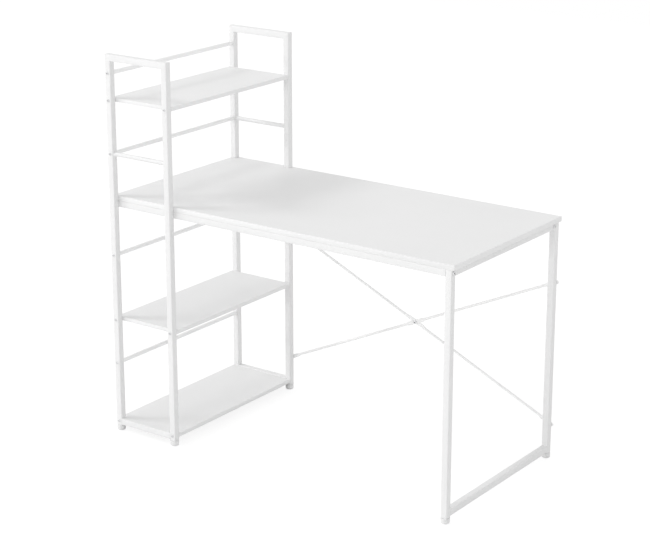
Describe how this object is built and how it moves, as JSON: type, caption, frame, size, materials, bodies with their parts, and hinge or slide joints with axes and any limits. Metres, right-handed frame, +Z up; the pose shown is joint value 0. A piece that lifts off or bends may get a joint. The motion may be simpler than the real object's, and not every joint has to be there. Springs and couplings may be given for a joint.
{
  "type": "computer desk with shelf tower",
  "caption": "Writing desk with a white board top on a thin square-tube steel frame, an open shelf tower at the left end, a leg frame at the right and a crossed-rod back brace.",
  "frame": {"origin": "middle of the desk's footprint, on the floor", "axes": "+X along the desk to the right, away from the shelf tower; +Y from the user's side to the back; +Z up"},
  "size_m": [1.203, 0.614, 1.18],
  "materials": {
    "white_steel": "satin white powder coat",
    "white_board": "smooth white melamine face on particle board",
    "zinc_steel": "zinc-plated",
    "white_plastic": "matt white moulded plastic"
  },
  "bodies": {
    "desk": {"bottom_shelf": "white_board", "brace_centre_bolt": "zinc_steel", "brace_centre_nut": "zinc_steel", "brace_end_bolts": "zinc_steel", "brace_rod_falling": "white_steel", "brace_rod_rising": "white_steel", "desk_back_rail": "white_steel", "desk_front_rail": "white_steel", "desk_top": "white_board", "desk_top_screws": "zinc_steel", "foot_inserts": "white_plastic", "guard_bar_bottom": "white_steel", "guard_bar_lower": "white_steel", "guard_bar_middle": "white_steel", "guard_bar_plugs": "white_plastic", "guard_bar_screws": "zinc_steel", "guard_bar_top": "white_steel", "leg_back_post": "white_steel", "leg_bolts": "zinc_steel", "leg_bottom_rail": "white_steel", "leg_front_post": "white_steel", "leg_top_rail": "white_steel", "middle_shelf": "white_board", "rail_caps": "white_plastic", "rail_plugs": "white_plastic", "rail_to_post_bolts": "zinc_steel", "rivet_nuts": "zinc_steel", "shelf_screws": "zinc_steel", "top_shelf": "white_board", "tower_back_bottom_rail": "white_steel", "tower_back_left_post": "white_steel", "tower_back_middle_bar": "white_steel", "tower_back_right_post": "white_steel", "tower_back_top_rail": "white_steel", "tower_front_bottom_rail": "white_steel", "tower_front_left_post": "white_steel", "tower_front_middle_bar": "white_steel", "tower_front_right_post": "white_steel", "tower_front_top_rail": "white_steel"},
    "tower_front_left_levelling_foot": {"tower_front_left_foot": "white_plastic", "tower_front_left_stud": "zinc_steel"},
    "tower_front_right_levelling_foot": {"tower_front_right_foot": "white_plastic", "tower_front_right_stud": "zinc_steel"},
    "tower_back_left_levelling_foot": {"tower_back_left_foot": "white_plastic", "tower_back_left_stud": "zinc_steel"},
    "tower_back_right_levelling_foot": {"tower_back_right_foot": "white_plastic", "tower_back_right_stud": "zinc_steel"},
    "leg_front_levelling_foot": {"leg_front_foot": "white_plastic", "leg_front_stud": "zinc_steel"},
    "leg_back_levelling_foot": {"leg_back_foot": "white_plastic", "leg_back_stud": "zinc_steel"}
  },
  "joints": [
    {"name": "tower_front_left_levelling", "type": "slide", "parent": "desk", "child": "tower_front_left_levelling_foot", "axis": [0, 0, -1], "range_m": [0, 0.005]},
    {"name": "tower_front_right_levelling", "type": "slide", "parent": "desk", "child": "tower_front_right_levelling_foot", "axis": [0, 0, -1], "range_m": [0, 0.005]},
    {"name": "tower_back_left_levelling", "type": "slide", "parent": "desk", "child": "tower_back_left_levelling_foot", "axis": [0, 0, -1], "range_m": [0, 0.005]},
    {"name": "tower_back_right_levelling", "type": "slide", "parent": "desk", "child": "tower_back_right_levelling_foot", "axis": [0, 0, -1], "range_m": [0, 0.005]},
    {"name": "leg_front_levelling", "type": "slide", "parent": "desk", "child": "leg_front_levelling_foot", "axis": [0, 0, -1], "range_m": [0, 0.005]},
    {"name": "leg_back_levelling", "type": "slide", "parent": "desk", "child": "leg_back_levelling_foot", "axis": [0, 0, -1], "range_m": [0, 0.005]}
  ]
}
